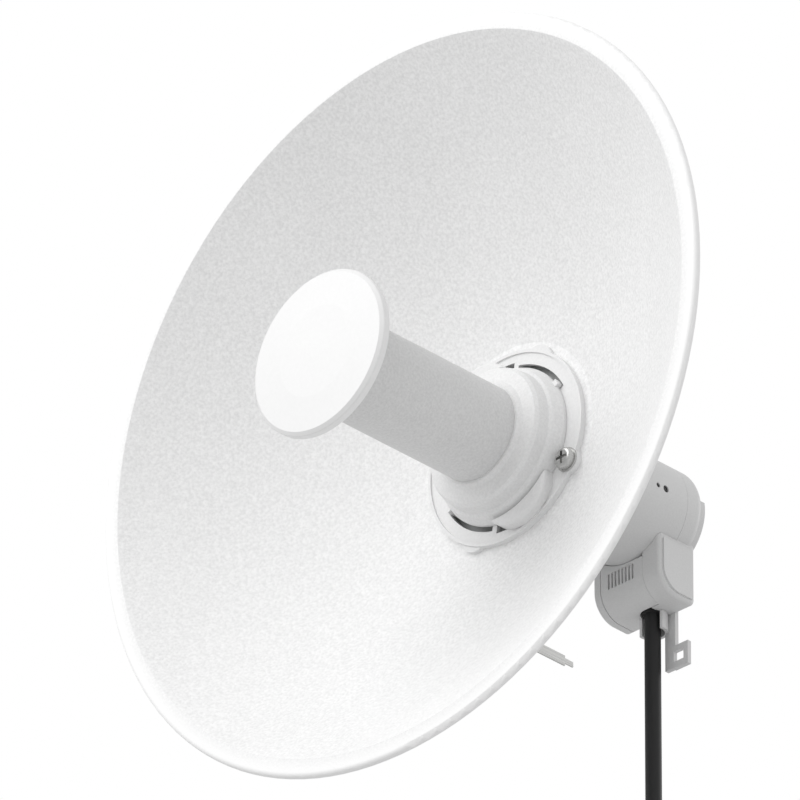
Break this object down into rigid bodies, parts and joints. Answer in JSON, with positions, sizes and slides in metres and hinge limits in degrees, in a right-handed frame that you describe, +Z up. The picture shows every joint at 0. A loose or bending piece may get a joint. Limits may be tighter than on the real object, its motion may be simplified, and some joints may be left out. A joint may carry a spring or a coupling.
{
  "type": "outdoor wireless bridge dish antenna",
  "caption": "Round dish antenna with a coaxial capped feed, a radio barrel with a connector bay behind it, a tilting bracket with band clamps for a pole, and a hanging network cable.",
  "frame": {"origin": "on the axis of the pole that the bracket clamps, midway between the two band clamps", "axes": "+Z up along the pole; the antenna looks along -Y; +X is to the right seen from behind the viewer who faces +Y, towards the antenna's axis"},
  "size_m": [0.34, 0.239, 0.4426],
  "materials": {
    "white_powder_coat": "matt textured powder coat",
    "white_plastic": "fine spark-eroded matt",
    "cap_plastic": "smooth satin",
    "housing_plastic": "matt moulded, UV stable",
    "plate_coat": "matt paint",
    "cast_bracket": "satin paint on die casting",
    "stainless": "brushed",
    "zinc_steel": "zinc plated",
    "bare_aluminium": "as machined",
    "ptfe": "waxy",
    "black_rubber": "matt",
    "cable_jacket": "satin PE jacket",
    "board": "solder mask",
    "tinned_steel": "tinned",
    "black_plastic": "moulded",
    "clear_plastic": "smoked, polished",
    "plug_plastic": "clear moulded",
    "membrane": "felted"
  },
  "bodies": {
    "mast_clamp": {"pole_bracket": "cast_bracket", "band_upper": "stainless", "band_lower": "stainless", "worm_housing_upper": "stainless", "worm_housing_lower": "stainless", "pivot_bolt": "stainless", "lock_bolt": "stainless", "tilt_washers": "stainless"},
    "antenna": {"barrel_seal": "black_rubber", "bayonet_plate": "plate_coat", "cable_coil": "cable_jacket", "cable_gland": "black_rubber", "cable_guide": "housing_plastic", "cable_lead": "cable_jacket", "cable_tail": "cable_jacket", "coil_ties": "black_plastic", "cover_screws": "stainless", "end_plug": "plug_plastic", "ethernet_jack": "black_plastic", "ground_screw": "zinc_steel", "heat_spreader": "bare_aluminium", "inner_plug": "plug_plastic", "led_lenses": "clear_plastic", "main_board": "board", "plate_screw": "stainless", "plate_washers": "stainless", "plug_boot": "black_rubber", "radio_barrel": "housing_plastic", "rear_cover": "housing_plastic", "reflector": "white_powder_coat", "rf_shield": "tinned_steel", "tilt_bracket": "cast_bracket"},
    "feed": {"feed_cap": "cap_plastic", "cap_back": "white_plastic", "subreflector": "bare_aluminium", "feed_tube": "white_plastic", "waveguide": "bare_aluminium", "dielectric_cone": "ptfe", "feed_collar": "white_plastic", "collar_seal": "black_rubber"},
    "feed_screw": {"feed_lock_screw": "stainless"},
    "vent_door": {"vented_cover": "housing_plastic", "vent_membrane": "membrane"},
    "worm_upper": {"worm_screw_upper": "zinc_steel"},
    "worm_lower": {"worm_screw_lower": "zinc_steel"},
    "nut_pivot": {"pivot_nut": "stainless"},
    "nut_lock": {"lock_nut": "stainless"}
  },
  "joints": [
    {"name": "tilt", "type": "hinge", "parent": "mast_clamp", "child": "antenna", "pos_m": [0.0435, -0.027, 0], "axis": [1, 0, 0], "range_deg": [-20, 20]},
    {"name": "feed_twist", "type": "hinge", "parent": "antenna", "child": "feed", "pos_m": [0.109, -0.063, 0], "axis": [0, -1, 0], "range_deg": [0, 42]},
    {"name": "feed_screw_turn", "type": "hinge", "parent": "antenna", "child": "feed_screw", "pos_m": [0.14512, -0.063, -0.02002], "axis": [0, 1, 0], "continuous": true},
    {"name": "vent_door_slide", "type": "slide", "parent": "antenna", "child": "vent_door", "axis": [-1, 0, 0], "range_m": [0, 0.03]},
    {"name": "worm_upper_turn", "type": "hinge", "parent": "mast_clamp", "child": "worm_upper", "pos_m": [0.0333, -0.003, 0.023], "axis": [0, 1, 0], "continuous": true},
    {"name": "worm_lower_turn", "type": "hinge", "parent": "mast_clamp", "child": "worm_lower", "pos_m": [0.0333, -0.003, -0.023], "axis": [0, 1, 0], "continuous": true},
    {"name": "pivot_nut_turn", "type": "hinge", "parent": "mast_clamp", "child": "nut_pivot", "pos_m": [0.0345, -0.027, 0], "axis": [1, 0, 0], "continuous": true},
    {"name": "lock_nut_turn", "type": "hinge", "parent": "mast_clamp", "child": "nut_lock", "pos_m": [0.0345, -0.027, 0.019], "axis": [1, 0, 0], "continuous": true}
  ]
}
